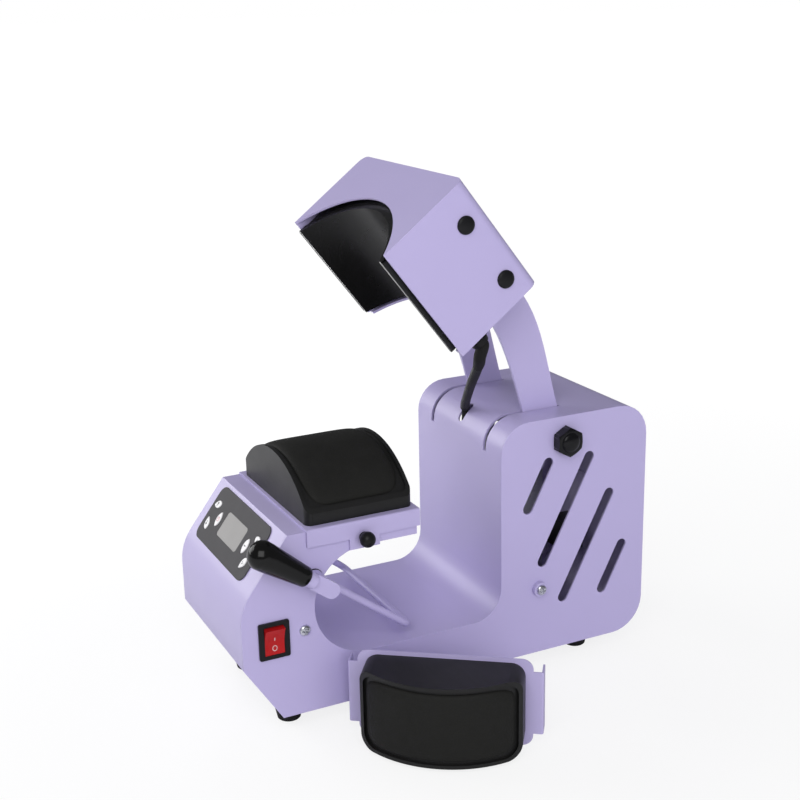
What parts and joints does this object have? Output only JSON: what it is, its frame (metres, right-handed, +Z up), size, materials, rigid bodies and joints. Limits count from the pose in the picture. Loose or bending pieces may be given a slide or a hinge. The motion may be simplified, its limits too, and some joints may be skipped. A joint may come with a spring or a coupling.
{
  "type": "cap heat press",
  "caption": "Countertop cap heat press with a curved padded platen, a swinging arched heater head, a wire cap bail with a side lever and a spare curved platen standing beside it.",
  "frame": {"origin": "centre of the front right foot's rest face, on the bench", "axes": "+X to the machine's right side with the switch, +Y from the panel to the rear, +Z up"},
  "size_m": [0.2893, 0.3783, 0.4313],
  "materials": {
    "body_paint": "satin powder coat, lilac",
    "bright_steel": "bright zinc",
    "dark_steel": "satin black",
    "black_plastic": "matte black",
    "black_rubber": "matte black",
    "pad_rubber": "smooth dark silicone",
    "cast_platen": "satin black coating",
    "heater_coat": "smooth black non-stick coating",
    "overlay_grey": "fine satin film",
    "lcd_grey": "smooth",
    "board_green": "solder mask",
    "button_white": "smooth",
    "rocker_red": "translucent red",
    "terminal_cream": "smooth",
    "bronze": "sintered",
    "gear_case": "cast",
    "heating_mat": "foil"
  },
  "bodies": {
    "frame": {"side_plate_right": "body_paint", "side_plate_left": "body_paint", "front_cover": "body_paint", "spine_sheet": "body_paint", "rear_panel": "body_paint", "rear_cover": "body_paint", "base_plate": "body_paint", "feet": "black_rubber", "case_screws": "bright_steel", "cross_struts": "bright_steel", "screw_collars": "body_paint", "pivot_axle": "bright_steel", "axle_nuts": "dark_steel", "axle_spacers": "bright_steel", "gearmotor": "gear_case", "motor_bracket": "bright_steel", "terminal_block": "terminal_cream", "bail_bushes": "black_plastic", "panel_overlay": "overlay_grey", "display_window": "lcd_grey", "display_module": "lcd_grey", "control_board": "board_green", "board_posts": "bright_steel", "switch_bezel": "black_plastic", "power_inlet": "black_plastic", "head_cable": "black_rubber"},
    "button_up": {"button_up": "button_white"},
    "button_down": {"button_down": "button_white"},
    "button_clock": {"button_clock": "button_white"},
    "button_plus": {"button_plus": "button_white"},
    "button_minus": {"button_minus": "button_white"},
    "button_start": {"button_start": "button_white"},
    "rocker": {"switch_rocker": "rocker_red"},
    "bail": {"bail_rod": "body_paint", "bail_lever": "body_paint", "bail_grip": "black_plastic"},
    "tray": {"tray": "body_paint", "platen_body": "cast_platen", "platen_pad": "pad_rubber", "platen_bolts": "bright_steel"},
    "knob": {"clamp_knob": "black_plastic"},
    "spare": {"spare_tray": "body_paint", "spare_body": "cast_platen", "spare_pad": "pad_rubber", "spare_bolts": "bright_steel"},
    "pinion": {"drive_pinion": "bright_steel"},
    "head": {"arm_right": "body_paint", "arm_left": "body_paint", "hub_tube": "bright_steel", "arm_bushes": "bronze", "arm_tie": "bright_steel", "drive_sector": "bright_steel", "head_shell": "body_paint", "head_rear_plate": "body_paint", "head_bars": "bright_steel", "head_caps": "black_plastic", "heater_plate": "heater_coat", "heater_box": "dark_steel", "heater_element": "heating_mat", "cable_gland": "black_plastic"}
  },
  "joints": [
    {"name": "head_hinge", "type": "hinge", "parent": "frame", "child": "head", "pos_m": [-0.049, 0.2465, 0.205], "axis": [-1, 0, 0], "range_deg": [-52.5, 0], "deforming": ["head_cable"]},
    {"name": "pinion_spin", "type": "hinge", "parent": "frame", "child": "pinion", "pos_m": [-0.049, 0.2465, 0.142], "axis": [-1, 0, 0], "range_deg": [0, 168]},
    {"name": "bail_hinge", "type": "hinge", "parent": "frame", "child": "bail", "pos_m": [-0.049, 0.0165, 0.1305], "axis": [1, 0, 0], "range_deg": [0, 45]},
    {"name": "rocker_hinge", "type": "hinge", "parent": "frame", "child": "rocker", "pos_m": [0.024, -0.019, 0.0855], "axis": [0, -1, 0], "range_deg": [0, 18]},
    {"name": "button_up_press", "type": "slide", "parent": "frame", "child": "button_up", "axis": [0, 0.7955, -0.606], "range_m": [0, 0.0008], "stiffness_N_per_m": 900},
    {"name": "button_down_press", "type": "slide", "parent": "frame", "child": "button_down", "axis": [0, 0.7955, -0.606], "range_m": [0, 0.0008], "stiffness_N_per_m": 900},
    {"name": "button_clock_press", "type": "slide", "parent": "frame", "child": "button_clock", "axis": [0, 0.7955, -0.606], "range_m": [0, 0.0008], "stiffness_N_per_m": 900},
    {"name": "button_plus_press", "type": "slide", "parent": "frame", "child": "button_plus", "axis": [0, 0.7955, -0.606], "range_m": [0, 0.0008], "stiffness_N_per_m": 900},
    {"name": "button_minus_press", "type": "slide", "parent": "frame", "child": "button_minus", "axis": [0, 0.7955, -0.606], "range_m": [0, 0.0008], "stiffness_N_per_m": 900},
    {"name": "button_start_press", "type": "slide", "parent": "frame", "child": "button_start", "axis": [0, 0.7955, -0.606], "range_m": [0, 0.0008], "stiffness_N_per_m": 900},
    {"name": "tray_lift", "type": "slide", "parent": "frame", "child": "tray", "axis": [0, 0, 1], "range_m": [0, 0.06]},
    {"name": "knob_turn", "type": "hinge", "parent": "tray", "child": "knob", "pos_m": [0.0354, 0.05925, 0.157], "axis": [1, 0, 0], "continuous": true},
    {"name": "spare_lift", "type": "slide", "parent": "frame", "child": "spare", "axis": [0, 0, 1], "range_m": [0, 0.1]}
  ],
  "couplings": [
    {"joint": "pinion_spin", "follows": "head_hinge", "ratio": -3.2}
  ]
}
